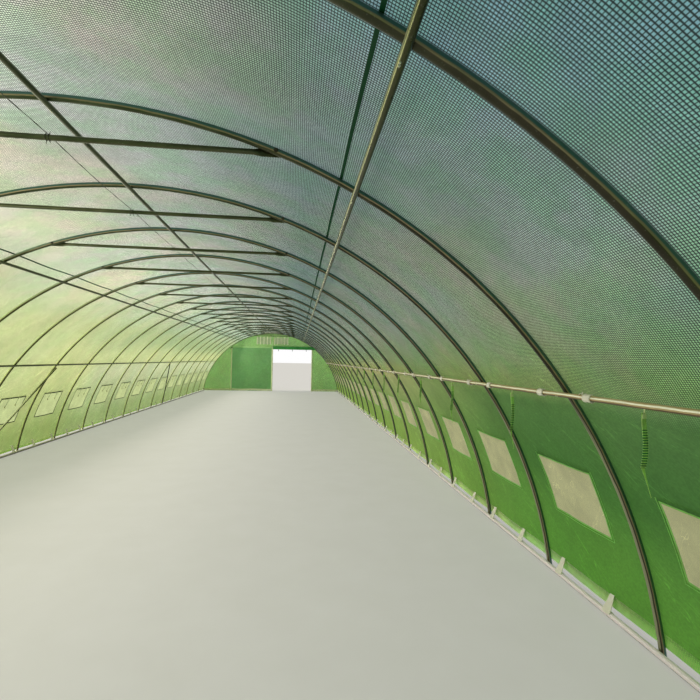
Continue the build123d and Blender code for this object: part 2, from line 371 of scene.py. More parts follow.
def tube_material(name, dark, light, metal, rough, toward=None, sides=(), fades=()):
    """Steel tube with a dull zinc bloom and faint stains, painted highlights, reflections and shade by the
    way its faces turn, and tones along it.
    """
    paint = Paint(name)
    place = paint.place()
    bloom = paint.smooth(paint.noise(place, 7.0, 3.0, 0.5), 0.3, 0.7)
    specks = paint.smooth(paint.noise(place, 160.0, 2.0), 0.62, 0.74)
    stains = paint.smooth(paint.noise(place, 3.2, 4.0, 0.65), 0.56, 0.74)
    shown = paint.tint(colour(*dark), bloom, colour(*light))
    # Painted light and shade by how far each face turns towards a given direction; for hoops the direction is
    # outwards from the arch's axis
    if toward:
        away = toward
        if toward == "outward":
            parts = paint.parts(place)
            above = paint.sum("SUBTRACT", parts[2], arch_middle)
            away = paint.vector("NORMALIZE", paint.add("CombineXYZ", {0: parts[0], 2: above}))
            # Painted light from the film: hoops greener from the left over the crown, and olive on the sunlit
            # left
            left = paint.smooth(parts[0], -2.4, -0.6, 1.0, 0.0)
            green_film_light = paint.smooth(parts[0], 0.2, 1.8, 1.0, 0.0)
            shown = paint.tint(shown, green_film_light, (1.5, 2.2, 1.7, 1), "MULTIPLY")
            shown = paint.tint(shown, left, (1.5, 1.4, 0.7, 1), "MULTIPLY")
        normal = paint.add("TexCoord", output=1)
        facing = paint.vector("DOT_PRODUCT", normal, away, output="Value")
        facing = paint.sum("ADD", facing, paint.smooth(bloom, 0.0, 1.0, -0.05, 0.05))
        # Painted highlights, reflections and shade, each over a range of facing
        for (low, high), tone in sides:
            shown = paint.tint(shown, paint.smooth(facing, low, high), colour(*tone))
        if toward == "outward":
            # Painted highlight: a pale rim on the outward side of the hoops on the left
            rim = paint.times(paint.smooth(facing, -0.3, 0.0), left)
            shown = paint.tint(shown, rim, colour(250, 252, 214))
            # Painted light: low on the right, the inner side of the hoops is lighter, as lit from the left
            foot = paint.times(paint.smooth(parts[2], 0.9, 1.4, 1.0, 0.0), paint.smooth(parts[0], 0.0, 1.0))
            inner = paint.times(paint.smooth(facing, -0.9, -0.7, 0.8, 0.0), foot)
            shown = paint.tint(shown, inner, colour(176, 172, 144))
    for axis, low, high, tone in fades:
        along = paint.parts(place)[axis]
        shown = paint.tint(shown, paint.smooth(along, low, high), tone + (1,), "MULTIPLY")
    shown = paint.tint(shown, paint.times(specks, 0.1), colour(206, 206, 190))
    shown = paint.tint(shown, paint.times(stains, 0.15), colour(92, 80, 50))
    dull = paint.sum("ADD", paint.times(stains, 0.15), paint.smooth(bloom, 0, 1, rough, rough + 0.08))
    normal = paint.bump(specks, 0.15, 0.0003)
    inputs = {"Base Color": shown, "Roughness": dull, "Metallic": metal, "Normal": normal}
    return paint.finish(paint.add("BsdfPrincipled", inputs))


def plastic_material(name, base, rough=0.45, soft=0.0, dusty=0.35):
    """Moulded or woven plastic with a fine grain and light dust."""
    paint = Paint(name)
    place = paint.place()
    grain = paint.noise(place, 420.0, 2.0)
    dust = paint.smooth(paint.noise(place, 22.0, 4.0), 0.45, 0.7)
    shown = paint.tint(colour(*base), paint.times(dust, dusty), colour(150, 138, 104))
    shown = paint.tint(shown, paint.smooth(grain, 0.3, 0.8, 0.0, 0.6 * dusty), (0.02, 0.02, 0.02, 1))
    bump = paint.bump(grain, 0.25, 0.0003)
    inputs = {"Base Color": shown, "Roughness": paint.smooth(dust, 0, 1, rough, rough + 0.25), "Normal": bump}
    shader = paint.add("BsdfPrincipled", inputs)
    if soft:
        behind = paint.add("BsdfTranslucent", {"Color": shown, "Normal": bump})
        shader = paint.add("MixShader", {0: soft, 1: shader, 2: behind})
    return paint.finish(shader)


film = film_material("woven_film")
gable_film = film_material("gable_woven_film", (172, 221, 132), 0.66, 0.6)
door_film = film_material("door_woven_film", (129, 187, 111), 0.66, 0.6)
# One hem, in a tone for each side that follows the light there, as painted light and shade; the right hem
# also gets painted shade over the front bays
hem_films = {
    "left": film_material("left_hem_woven_film", (206, 224, 160), line_dark=0.75, doubled=1.15),
    "right": film_material("right_hem_woven_film", (253, 254, 224), line_dark=0.75, doubled=1.35,
                           near=(fade_out(1.3, 2.7), (0.52, 0.9, 0.38)),
                           fade=(hem_across - 0.07, hem_across - 0.015, 0.66, 1.04)),
}
seam_film = film_material("seam_woven_film", (20, 92, 56), 0.45, 0.8, doubled=0.8)
rolled_film = film_material("rolled_woven_film", (70, 150, 92), 0.35, 0.6)
# One insect mesh, in a tone for each side and for the gables that follows the light there: painted light and
# shade
window_meshes = {
    "left": mesh_material("left_insect_mesh", (178, 192, 142)),
    "right": mesh_material("right_insect_mesh", (233, 229, 182)),
    "gable": mesh_material("gable_insect_mesh", (174, 199, 148)),
}
# Directions of the painted light, towards which the lit side of a tube is painted lighter
LIT_SIDE = (-0.8, -0.25, 0.54)
RAIL_LIT_SIDE = (-0.5, -0.2, 0.84)
# Hoops: a painted brown highlight streak between the dark inner side and a painted teal reflection of the
# film on the outer side
hoop_steel = tube_material("hoop_steel", (46, 44, 32), (58, 55, 42), 0.7, 0.3, "outward", (
    ((-0.6, -0.44), (146, 130, 104)), ((-0.3, -0.08), (76, 110, 102))))
# Other tubes: the upper side painted lighter, a painted highlight
tube_steel = tube_material("tube_steel", (66, 72, 50), (84, 88, 64), 0.8, 0.28, (0.0, 0.0, 1.0), (
    ((0.3, 0.8), (122, 126, 92)),))
# Right purlin: olive in the film's green light, with a painted cream highlight on its lit side: painted light
lit_olive_purlin = tube_material("lit_olive_purlin", (50, 54, 26), (62, 66, 34), 0.8, 0.24, LIT_SIDE, (
    ((0.1, 0.4), (140, 142, 96)), ((0.5, 0.8), (232, 222, 178))))
# Right side rail: the lit copy of the left rail's steel, cream with a painted highlight and painted brown
# shade on its underside
lit_cream_rail = tube_material("lit_cream_rail", (88, 62, 38), (104, 78, 50), 0.05, 0.3, RAIL_LIT_SIDE, (
    ((-0.1, 0.2), (176, 152, 112)),
    ((0.4, 0.62), (255, 250, 234)),
    ((0.8, 0.92), (190, 164, 124))))
# Wind braces: a painted highlight on one side, painted shade towards the top, and far darker painted shade on
# the braces past the middle of the tunnel
brace_tube = tube_material("brace_tube", (96, 98, 56), (112, 112, 66), 0.0, 0.4, (-0.9, 0.0, 0.45), (
    ((-0.5, -0.2), (255, 253, 232)),), (
    (2, 0.72, 0.95, (0.35, 0.38, 0.25)), (1, -1.0, 1.0, (0.2, 0.2, 0.2))))
# Base rails: a painted highlight on the lit side over a darker shaded underside
silver_tube = tube_material("silver_tube", (132, 126, 118), (148, 142, 134), 0.0, 0.3, RAIL_LIT_SIDE, (
    ((-0.1, 0.35), (255, 236, 255)),))
frame_tube = tube_material("frame_tube", (236, 246, 200), (250, 252, 220), 0.0, 0.5, fades=(
    (2, door_head - 0.06, door_head - 0.02, (0.45, 0.7, 0.45)),))
pin_zinc = tube_material("pin_zinc", (186, 184, 160), (226, 222, 200), 0.8, 0.3)
dark_wire = tube_material("dark_wire", (36, 36, 26), (72, 72, 56), 0.5, 0.5)
white_plastic = plastic_material("white_plastic", (255, 247, 244), 0.45, 0.15, 0.1)
# One binding, dark olive on the left, where it is seen against the sunlit film, and bright green on the lit
# right: painted shade and painted light
bindings = {
    "left": plastic_material("backlit_olive_binding", (70, 84, 40), 0.5, 0.2),
    "right": plastic_material("lit_green_binding", (170, 240, 130), 0.5, 0.4),
}
strap_green = plastic_material("strap_green", (210, 255, 150), 0.5, 0.4)
strap_dark = plastic_material("strap_dark", (30, 120, 60), 0.5, 0.1)
tape_pale = plastic_material("tape_pale", (250, 254, 222), 0.55, 0.3)
# Fold over the doorways: bright green as the sunlit rolled door outside, painted light
bright_fold = plastic_material("bright_fold", (78, 196, 100), 0.5, 0.5)
pale_tip = plastic_material("pale_tip", (240, 250, 200), 0.5, 0.3, 0.1)
toggle_cream = plastic_material("toggle_cream", (196, 188, 150), 0.5, 0.1)

# Mesh pieces


def scene_object(name, data):
    """New object in the scene."""
    made = bpy.data.objects.new(name, data)
    bpy.context.scene.collection.objects.link(made)
    return made


def finish_piece(piece, material, replaces=()):
    """A piece gets its material, rides on the frame and stands for its nodes."""
    piece.data.materials.append(material)
    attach(piece, "root")
    if replaces:
        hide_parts(*replaces)
    return piece


def mesh_piece(name, corners, faces, uv=None, smooth=True):
    """New object from corners and faces, with its cloth's flat places as UV."""
    mesh = bpy.data.meshes.new(name)
    mesh.from_pydata(np.asarray(corners).tolist(), [], [list(map(int, face)) for face in faces])
    if uv is not None:
        layer = mesh.uv_layers.new(name="cloth")
        index = np.zeros(len(mesh.loops), np.int32)
        mesh.loops.foreach_get("vertex_index", index)
        layer.data.foreach_set("uv", np.asarray(uv, np.float32)[index].ravel())
    mesh.polygons.foreach_set("use_smooth", [smooth] * len(mesh.polygons))
    mesh.update()
    return scene_object(name, mesh)


def grid_piece(name, rows, columns, place, open_at=None):
    """Sheet over rows and columns of its flat cut, open where open_at says so."""
    across, along = np.meshgrid(rows, columns, indexing="ij")
    corners = place(across.ravel(), along.ravel())
    count = len(columns)
    row, column = np.meshgrid(np.arange(len(rows) - 1), np.arange(count - 1), indexing="ij")
    first = (row * count + column).ravel()
    faces = np.stack([first, first + count, first + count + 1, first + 1], axis=1)
    uv = np.stack([across.ravel(), along.ravel()], axis=1)
    if open_at is not None:
        centres = uv[faces].mean(axis=1)
        faces = faces[~open_at(centres[:, 0], centres[:, 1])]
        used = np.unique(faces)
        fresh = np.zeros(len(uv), int)
        fresh[used] = np.arange(len(used))
        corners, uv, faces = corners[used], uv[used], fresh[faces]
    return mesh_piece(name, corners, faces, uv)


def steps(stops, pitch):
    """Numbers through all the stops, about a pitch apart."""
    numbers = [stops[0]]
    for low, high in zip(stops, stops[1:]):
        count = max(1, round(abs(high - low) / pitch))
        numbers += [low + (high - low) * step / count for step in range(1, count + 1)]
    return np.array(numbers)


class Waves:
    """Uneven field of about -1 to 1 over the film, from slanting waves."""

    def __init__(self, seed, turn, spread, shortest, longest, count=8):
        chance = random.Random(seed)
        self.parts = []
        for _ in range(count):
            angle = turn + chance.uniform(-spread, spread)
            number = 2 * math.pi / chance.uniform(shortest, longest)
            start = chance.uniform(0, 2 * math.pi)
            self.parts.append((number * math.cos(angle), number * math.sin(angle), start))

    def __call__(self, across, along):
        total = sum(np.sin(k * across + m * along + start) for k, m, start in self.parts)
        return total / (1.3 * math.sqrt(len(self.parts)))


soft_waves = Waves(3, 0.8, 1.6, 0.25, 0.7)
fold_waves = Waves(11, 1.05, 0.22, 0.16, 0.42)
gable_waves = Waves(23, 0.3, 1.5, 0.3, 0.9)


def film_point(across, along, out):
    """One point of the film where it hangs, a distance outside it."""
    return Vector(on_film(np.array([across]), np.array([along]), out)[0])


def folds_at(across, along):
    """1 along the ridges of the folds, and less beside them."""
    return (1 - np.minimum(np.abs(fold_waves(np.abs(across), along)), 1)) ** 5


def film_sway(across, along):
    """How far the film stands out of its arch: it sags and creases between two hoops."""
    between_hoops = np.sin(np.pi * (along - hoop_places[0]) / bay) ** 2
    low = np.clip((np.abs(across) - 2.6) / 0.9, 0, 1)
    unrest = film_unrest * soft_waves(across, along)
    return between_hoops * (unrest - film_sag + folds_at(across, along) * (0.0012 + 0.0032 * low))


def on_arch(across, along, out=0.0):
    """Points of the arch at arc lengths from the crown, a distance outside the film's middle."""
    turn = np.asarray(across) / film_radius
    radius = film_radius + out
    along = np.broadcast_to(along, turn.shape)
    return np.stack([radius * np.sin(turn), along, arch_middle + radius * np.cos(turn)], axis=-1)


def on_film(across, along, out=0.0):
    """Points of the film where it hangs, a distance outside it."""
    return on_arch(across, along, film_sway(across, along) + out)


def spoke(first, second, turn):
    """Direction at an angle from the first, towards the second."""
    return first * math.cos(turn) + second * math.sin(turn)


class Kit:
    """Many small closed shapes that make one piece."""

    def __init__(self):
        self.corners = []
        self.faces = []

    def skin(self, rings, closed=False, ends=None):
        """Surface over rings of points, and over both ends of the row of rings unless it is closed."""
        start = len(self.corners)
        sides, count = len(rings[0]), len(rings)
        faces = []
        for index in range(count if closed else count - 1):
            low, high = index * sides, (index + 1) % count * sides
            for side in range(sides):
                after = (side + 1) % sides
                faces.append((low + side, low + after, high + after, high + side))
        if not closed:
            for face in ends or [tuple(range(sides))]:
                faces.append(face[::-1])
                faces.append([(count - 1) * sides + corner for corner in face])
        self.corners += [tuple(corner) for ring in rings for corner in ring]
        self.faces += [[start + corner for corner in face] for face in faces]

    def tube(self, points, radius, sides=8, closed=False):
        """Round wire or bar along points."""
        points = [Vector(point) for point in points]
        count = len(points)
        rings, normal = [], None
        for index, point in enumerate(points):
            before = points[index - 1] if index or closed else point
            after = points[(index + 1) % count] if index < count - 1 or closed else point
            ahead = (after - before).normalized()
            if normal is None:
                normal = ahead.orthogonal().normalized()
            normal = (normal - ahead * normal.dot(ahead)).normalized()
            other = ahead.cross(normal)
            size = radius[index] if isinstance(radius, (list, tuple)) else radius
            turns = [2 * math.pi * side / sides for side in range(sides)]
            rings.append([point + spoke(normal, other, turn) * size for turn in turns])
        self.skin(rings, closed)

    def band(self, points, sides, out, width, thickness):
        """Flat strap along points, wide to its sides and thick outwards. Each is one value or a list."""
        def each(value):
            return value if isinstance(value, list) else [value] * len(points)

        rings = []
        for point, side, lift, wide in zip(points, each(sides), each(out), each(width)):
            across = Vector(side).normalized() * wide / 2
            up = Vector(lift).normalized() * thickness / 2
            low, high = Vector(point) - up, Vector(point) + up
            rings.append([low - across, low + across, high + across, high - across])
        self.skin(rings)

    def ring_band(self, centre, axis, radius, arc, width, thickness):
        """Strap round an axis, over an arc given as its two angles and a count of points."""
        loop = ring_points(centre, axis, radius, *arc)
        self.band(loop, axis, [point - centre for point in loop], width, thickness)
        return loop

    def bolt(self, place, ahead, size):
        """Washer, six-sided head and rounded end, standing along a direction."""
        ahead = Vector(ahead).normalized()
        place = Vector(place)
        start = place - ahead * size * 0.05
        for radius, low, high, sides in ((1.15, 0.0, 0.2, 16), (0.85, 0.2, 0.9, 6), (0.45, 0.9, 1.25, 10)):
            levels = [start + ahead * size * level for level in (low, high - 0.06, high)]
            self.tube(levels, [radius * size, radius * size, radius * size * 0.9], sides)

    def piece(self, name, material, slot=None, replaces=(), smooth=True):
        """The shapes as one piece, smooth where its faces meet gently."""
        made = mesh_piece(name, self.corners, self.faces, smooth=smooth)
        if smooth:
            made.data.set_sharp_from_angle(angle=math.radians(38))
        return finish_piece(made, material, replaces)


def ring_points(centre, axis, radius, start, end, count):
    """Points round an axis, from one angle to another, with 0 at the top."""
    axis = Vector(axis).normalized()
    up = Vector((0, 0, 1)) - axis * axis.z
    up.normalize()
    side = axis.cross(up)
    points = []
    for step in range(count):
        turn = math.radians(start + (end - start) * step / (count - 1))
        points.append(Vector(centre) + spoke(up, side, turn) * radius)
    return points


def arch_turned(turn):
    """Direction down the arch, and outwards, at an angle from the crown."""
    down, out = Vector((1, 0, 0)), Vector((0, 0, 1))
    return spoke(down, -out, turn), spoke(out, down, turn)


def arch_frame(across):
    """Direction down the arch, and outwards, at an arc length from the crown."""
    return arch_turned(across / film_radius)


# Film round the arch
along_fine = steps([-film_end, *hoop_places, film_end], bay / 40)


def arch_sheet(name, start, end, node, pitch=0.045):
    """One panel of film between two arc lengths."""
    piece = grid_piece(name, steps([start, end], pitch), along_fine, on_film)
    finish_piece(piece, film, (node,))


def in_bay(along):
    """Distance from the middle of the bay."""
    return np.mod(along - hoop_places[0], bay) - bay / 2


def in_window(across, along):
    """True inside the windows of a skirt."""
    inside = np.abs(in_bay(along)) < window_width / 2
    return inside & (np.abs(across) > window_top_across) & (np.abs(across) < window_foot_across)


def skirt_sheet(side, name, node):
    """Film below the side rail, with its windows cut out."""
    stops = [rail_across, window_top_across, window_foot_across, hem_across]
    half = window_width / 2
    places = [-film_end]
    for place in hoop_places[:-1]:
        places += [place, place + bay / 2 - half, place + bay / 2 + half]
    columns = steps([*places, hoop_places[-1], film_end], 0.024)
    piece = grid_piece(name, side * steps(stops, 0.024), columns, on_film, in_window)
    finish_piece(piece, film, (node,))


arch_sheet("roof_film_sheet", -seam_across, seam_across, "roof_film")
for side, name in SIDES:
    arch_sheet(f"{name}_shoulder_sheet", side * seam_across, side * rail_across, f"{name}_shoulder_film")
    skirt_sheet(side, f"{name}_skirt_sheet", f"{name}_skirt_film")


# Seams, hems and window bindings
strap_out = -0.0018
strap_thickness = 0.0014


def film_strip(kit, across, low, high, width, out=strap_out, thickness=strap_thickness):
    """Strap that lies along the tunnel on the film."""
    places = steps([low, high], 0.05)
    down, away = arch_frame(across)
    kit.band([film_point(across, place, out) for place in places], down, away, width, thickness)


def cross_strip(kit, along, start, end, width):
    """Strap that lies down the film."""
    places = steps([start, end], 0.03)
    away = [arch_frame(place)[1] for place in places]
    points = [film_point(place, along, strap_out) for place in places]
    kit.band(points, (0, 1, 0), away, width, strap_thickness)


for side, name in SIDES:
    seams = Kit()
    film_strip(seams, side * seam_across, -film_end, film_end, 0.014, -0.0012, 0.0012)
    seams.piece(f"{name}_seams", seam_film, "film")
    hem_height = hem_heights[name]
    rows = side * steps([hem_across - hem_height, hem_across], 0.025)
    hem = grid_piece(f"{name}_hem_sheet", rows, along_fine, lambda *places: on_film(*places, -0.0022))
    finish_piece(hem, hem_films[name])
    binding = Kit()
    edge = 0.007 if side < 0 else 0.004
    for place in window_middles:
        if side > 0:
            outer = 0.017
            low, high = place - window_width / 2 - outer, place + window_width / 2 + outer
            film_strip(binding, window_foot_across + outer, low, high, 0.004)
            for along in (low, high):
                start, end = window_top_across - outer, window_foot_across + outer
                cross_strip(binding, along, start, end, 0.004)
        for across in (window_top_across, window_foot_across):
            low, high = place - window_width / 2 - edge, place + window_width / 2 + edge
            film_strip(binding, side * across, low, high, 2 * edge)
        for along in (place - window_width / 2, place + window_width / 2):
            start, end = side * (window_top_across - edge), side * (window_foot_across + edge)
            cross_strip(binding, along, start, end, 2 * edge)
    binding.piece(f"{name}_window_binding", bindings[name], "film")


# Mesh in the side windows
def window_sheet(side, name):
    """Insect mesh of every window on one side, slightly slack."""
    half = window_width / 2
    high = window_foot_across - window_top_across

    def hang(across, along):
        down = (np.abs(across) - window_top_across) / high
        slack = np.sin(np.pi * down) * np.sin(np.pi * (in_bay(along) + half) / window_width)
        return on_film(across, along, 0.004 * slack)

    rows = side * steps([window_top_across, window_foot_across], 0.04)
    columns = steps([place + hand * half for place in window_middles for hand in (-1, 1)], 0.04)
    piece = grid_piece(f"{name}_window_mesh_sheet", rows, columns, hang, lambda *places: ~in_window(*places))
    finish_piece(piece, window_meshes[name], (f"{name}_window_mesh",))


for side, name in SIDES:
    window_sheet(side, name)


# Rolled covers
def roll(kit, start, end, hang, radius, turns, seed, thickness=0.0012, pitch=0.05):
    """Sheet of film rolled up about a line, its end leaving towards hang."""
    axis = (end - start).normalized()
    hang = (Vector(hang) - axis * Vector(hang).dot(axis)).normalized()
    other = axis.cross(hang)
    chance = Waves(seed, 0.0, 3.0, 0.06, 0.3, 6)
    count = int(turns * 16)
    length = (end - start).length
    slices = max(4, round(length / pitch))
    rings = []
    for cut in range(slices + 1):
        share = cut / slices
        centre = start.lerp(end, share)
        outer, inner = [], []
        for step in range(count + 1):
            turn = 2 * math.pi * turns * step / count
            wobble = 1 + 0.05 * float(chance(np.array(turn * 0.05), np.array(share * length)))
            size = radius * (0.3 + 0.7 * (step / count) ** 0.7) * wobble
            outer.append(centre + spoke(hang, other, turn) * size)
            inner.append(centre + spoke(hang, other, turn) * (size - thickness))
        rings.append(outer + inner[::-1])
    last = 2 * count + 1
    kit.skin(rings, ends=[(step, step + 1, last - step - 1, last - step) for step in range(count)])


flap_radius = half_height("right_window_flaps")
flap_middle = middle("right_window_flaps")
flap_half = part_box("right_window_flaps")[1].y - hoop_places[-1] + bay / 2
flap_turn = math.atan2(flap_middle.x, flap_middle.z - arch_middle)
for side, name in SIDES:
    rolls = Kit()
    down = arch_turned(side * flap_turn)[0]
    for number, place in enumerate(window_middles):
        ends = [Vector((side * flap_middle.x, place + hand * flap_half, flap_middle.z)) for hand in (-1, 1)]
        roll(rolls, *ends, down * side, flap_radius, 1.4, 40 + number)
    rolls.piece(f"{name}_window_rolls", rolled_film, "film", (f"{name}_window_flaps",))

# Ties and toggles of the covers over the left windows
ties, toggles = Kit(), Kit()
tie_length = 0.12
for number, place in enumerate(window_middles):
    chance = random.Random(number * 7)
    top = -(window_top_across - 0.004)
    for share in (-0.42, -0.2, 0.18, 0.4):
        along = place + share * window_width
        pin = film_point(top, along, -0.005)
        reach = Vector((0, 0.013, 0))
        toggles.tube([pin - reach, pin, pin + reach], [0.004, 0.0052, 0.004], 8)
        if abs(share) > 0.3:
            continue
        length = tie_length + chance.uniform(-0.02, 0.02)
        lean = chance.uniform(-0.012, 0.012)
        places = [top - length * step / 6 for step in range(7)]
        points = [film_point(p, along + lean * index / 6, -0.004) for index, p in enumerate(places)]
        ties.band(points, (0, 1, 0), [arch_frame(p)[1] for p in places], 0.006, 0.0012)
        low = points[-1]
        levels = [low + Vector((0, 0, rise)) for rise in (0.012, 0, -0.016)]
        toggles.tube(levels, [0.004, 0.0064, 0.004], 8)
ties.piece("left_window_ties", strap_dark, "film")
toggles.piece("left_window_toggles", toggle_cream, "pale_tube")

# Gables
closed_inner, closed_outer = -door_high.x, -door_low.x
hem_level = door_low.z
mesh_low, mesh_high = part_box("back_gable_mesh")
mesh_wide = mesh_high.x
gable_place = middle("back_gable_film").y
gable_edge = film_radius * 0.985
mesh_inner = 0.06


def arch_top(x):
    """Height of the film's arch at a distance across."""
    return arch_middle + np.sqrt(np.maximum((film_radius - 0.002) ** 2 - np.asarray(x) ** 2, 0))


def gable_level(x, row):
    """Height of a row of the gable sheet at a distance across."""
    wide = np.abs(x)
    top = arch_top(wide)
    rim = arch_top(mesh_wide)
    crown_part = mesh_high.z + (row - mesh_high.z) * (top - mesh_high.z) / (rim - mesh_high.z)
    near = np.where(row > mesh_high.z, crown_part, row)

    def over_door(high):
        raised = door_head + (row - door_head) * (high - door_head) / (rim - door_head)
        return np.where(row > door_head, raised, row)

    part = over_door(top)
    jamb_top = arch_top(closed_outer)
    at_jamb = over_door(jamb_top)
    far = hem_level + (at_jamb - hem_level) * (top - hem_level) / (jamb_top - hem_level)
    return np.where(wide <= mesh_wide, near, np.where(wide <= closed_outer, part, far))


def gable_sway(x, z):
    """How far a gable sheet billows outwards."""
    corner = np.clip((np.abs(x) - 1.5) / 0.8, 0, 1) * np.clip((1.1 - z) / 0.8, 0, 1)
    return 0.002 + 0.0016 * (1 + gable_waves(x, z)) + folds_at(x * 1.5, z * 1.5) * (0.0008 + 0.006 * corner)


def gable_points(end, out=0.0, level_at=lambda x, row: row):
    """Function that puts flat places of a gable at one end of the tunnel."""
    def place(x, row):
        level = level_at(x, row)
        return np.stack([x, end * (gable_place + gable_sway(x, level) + out), level], axis=-1)
    return place


def gable_open(x, row):
    """True in the doorways and windows of a gable."""
    wide = np.abs(x)
    doorway = (wide > closed_inner) & (wide < closed_outer) & (row < door_head)
    window = (wide > mesh_inner) & (wide < mesh_wide) & (row > mesh_low.z) & (row < mesh_high.z)
    return doorway | window


def flat_sheet(name, x_stops, z_stops, end, out, pitch=0.05):
    """Flat part of a gable, such as a door or a window."""
    return grid_piece(name, steps(x_stops, pitch), steps(z_stops, pitch), gable_points(end, out))


def gable_cloth(end, name):
    """Sheet, closed door and two mesh windows of one gable."""
    half_stops = [closed_inner, mesh_inner, mesh_wide, closed_outer, gable_edge]
    x_stops = [-stop for stop in reversed(half_stops)] + half_stops
    z_stops = [hem_level, door_head, mesh_low.z, mesh_high.z, float(arch_top(mesh_wide))]
    sheet = grid_piece(f"{name}_gable_sheet", steps(x_stops, 0.05), steps(z_stops, 0.05),
                       gable_points(end, 0.0, gable_level), gable_open)
    finish_piece(sheet, gable_film, (f"{name}_gable_film",))
    door_x = [-closed_outer, -closed_inner]
    door = flat_sheet(f"{name}_door_sheet", door_x, [hem_level, door_head], end, 0.0005)
    finish_piece(door, door_film, (f"{name}_closed_door",))
    for sign, hand in SIDES:
        stops = sorted((sign * mesh_inner, sign * mesh_wide))
        panel = flat_sheet(f"{name}_mesh_{hand}", stops, [mesh_low.z, mesh_high.z], end, 0)
        replaced = (f"{name}_gable_mesh",) if sign < 0 else ()
        finish_piece(panel, window_meshes["gable"], replaced)


def gable_tapes(end, name):
    """Tapes beside the doorways, over the windows and along the foot of one gable."""
    tapes = Kit()
    wall = gable_points(end, -0.0025)

    def tape(places, wide, width, thickness=0.0014):
        tapes.band([wall(*np.array(place)) for place in places], wide, (0, 1, 0), width, thickness)

    for x in (-closed_outer, -closed_inner, closed_inner, closed_outer):
        shift = math.copysign(0.025, x) * (1 if abs(x) > 1 else -1)
        tape([(x + shift, z) for z in steps([0.02, door_head], 0.12)], (1, 0, 0), 0.05)
    for sign in (-1, 1):
        for x in steps([mesh_inner + 0.02, mesh_wide - 0.02], 0.14):
            levels = steps([mesh_low.z - 0.03, mesh_high.z + 0.03], 0.06)
            tape([(sign * x, z) for z in levels], (1, 0, 0), 0.03, 0.001)
    for stops in ([-gable_edge, -closed_inner], [closed_outer, gable_edge]):
        tape([(x, hem_level + 0.048 + 0.008 * math.sin(6 * x)) for x in steps(stops, 0.12)], (0, 0, 1), 0.08)
    tapes.piece(f"{name}_gable_tapes", tape_pale, "film")


def door_head_parts(end, name):
    """Fold of film over the doorway, the rolled door and the ties that hold it."""
    fold, rolled, held = Kit(), Kit(), Kit()
    header_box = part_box(f"{name}_gable_frame")
    inner_face = header_box[0].y if end > 0 else header_box[1].y
    places = steps([0.03, closed_outer + 0.22], 0.08)
    level = door_head + 0.02
    points = [Vector((x, inner_face - end * (0.006 + 0.003 * math.sin(9 * x)), level)) for x in places]
    # Coloured as the sunlit rolled door: painted light
    fold.band(points, (0, 0, 1), (0, 1, 0), 0.13, 0.004)
    fold.piece(f"{name}_door_fold", bright_fold, "film")
    size = half_height(f"{name}_door_roll")
    centre = middle(f"{name}_door_roll")
    first, last = [Vector((corner.x, centre.y, centre.z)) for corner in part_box(f"{name}_door_roll")]
    roll(rolled, first, last, (0, -end, 0.2), size, 4.3, 71, 0.0016, 0.04)
    rolled.piece(f"{name}_rolled_door", rolled_film, "film", (f"{name}_door_roll",))
    for share in (0.14, 0.5, 0.86):
        hold = first.lerp(last, share)
        held.ring_band(hold, (1, 0, 0), size + 0.001, (0, 350, 26), 0.02, 0.0014)
        tail = [hold + Vector((0, end * (size + 0.002), -step * 0.02)) for step in range(9)]
        held.band(tail, (1, 0, 0), (0, 1, 0), 0.02, 0.0014)
    held.piece(f"{name}_door_ties", strap_dark, "film")


for end, name in GABLE_ENDS:
    gable_cloth(end, name)
    gable_tapes(end, name)
    door_head_parts(end, name)

# Tubes of the frame keep their CAD shapes
own_steel = {
    "right_purlin": lit_olive_purlin,
    "front_gable_frame": frame_tube,
    "back_gable_frame": frame_tube,
    "right_side_rail": lit_cream_rail,
    "wind_braces": brace_tube,
    "left_base_rail": silver_tube,
    "right_base_rail": silver_tube,
    "centre_wire": dark_wire,
}
for node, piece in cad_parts.items():
    if not piece.hide_render:
        piece.data.materials.clear()
        piece.data.materials.append(own_steel.get(node, hoop_steel if node in hoop_nodes else tube_steel))

# Pins at the crossings of hoops with purlins and rails
pins = Kit()
purlin = middle("right_purlin")
purlin_turn = math.atan2(purlin.x, purlin.z - arch_middle)
rail = middle("right_side_rail")
rail_turn = math.atan2(rail.x, rail.z - arch_middle)
for place in hoop_places:
    behind = place + (0.034 if place < hoop_places[-1] else -0.034)
    for turn in (0.0, -purlin_turn, purlin_turn, -rail_turn, rail_turn):
        away = arch_turned(turn)[1]
        tube_middle = arch_middle * Vector((0, 0, 1)) + away * (arch_radius - hoop_radius - rail_radius)
        inner = tube_middle - away * rail_radius
        for hand in (-1, 1):
            start = inner + Vector((0, behind + hand * 0.006, 0))
            pins.tube([start + away * out for out in (0.002, -0.003, -0.0055)], [0.0034, 0.0034, 0.0018], 8)
pins.piece("crossing_pins", pin_zinc, "tube")


def tie_side(place):
    """Direction from a hoop to the side that its tie bar is bolted to."""
    return 1 if place < 0 else -1


# Bolts through the flat ends of the tie bars
bolts = Kit()
tie_reach = math.sqrt(arch_radius**2 - (tie_level - arch_middle) ** 2)
for place in hoop_places[1:-1]:
    inward = tie_side(place)
    flat = place + inward * (hoop_radius + 2 * tie_flat_half)
    for side in (-1, 1):
        bolts.bolt((side * tie_reach, flat, tie_level), (0, inward, 0), 0.009)
        bolts.bolt((side * tie_reach, place - inward * hoop_radius, tie_level), (0, -inward, 0), 0.009)
bolts.piece("tie_bar_bolts", dark_wire, "tube")

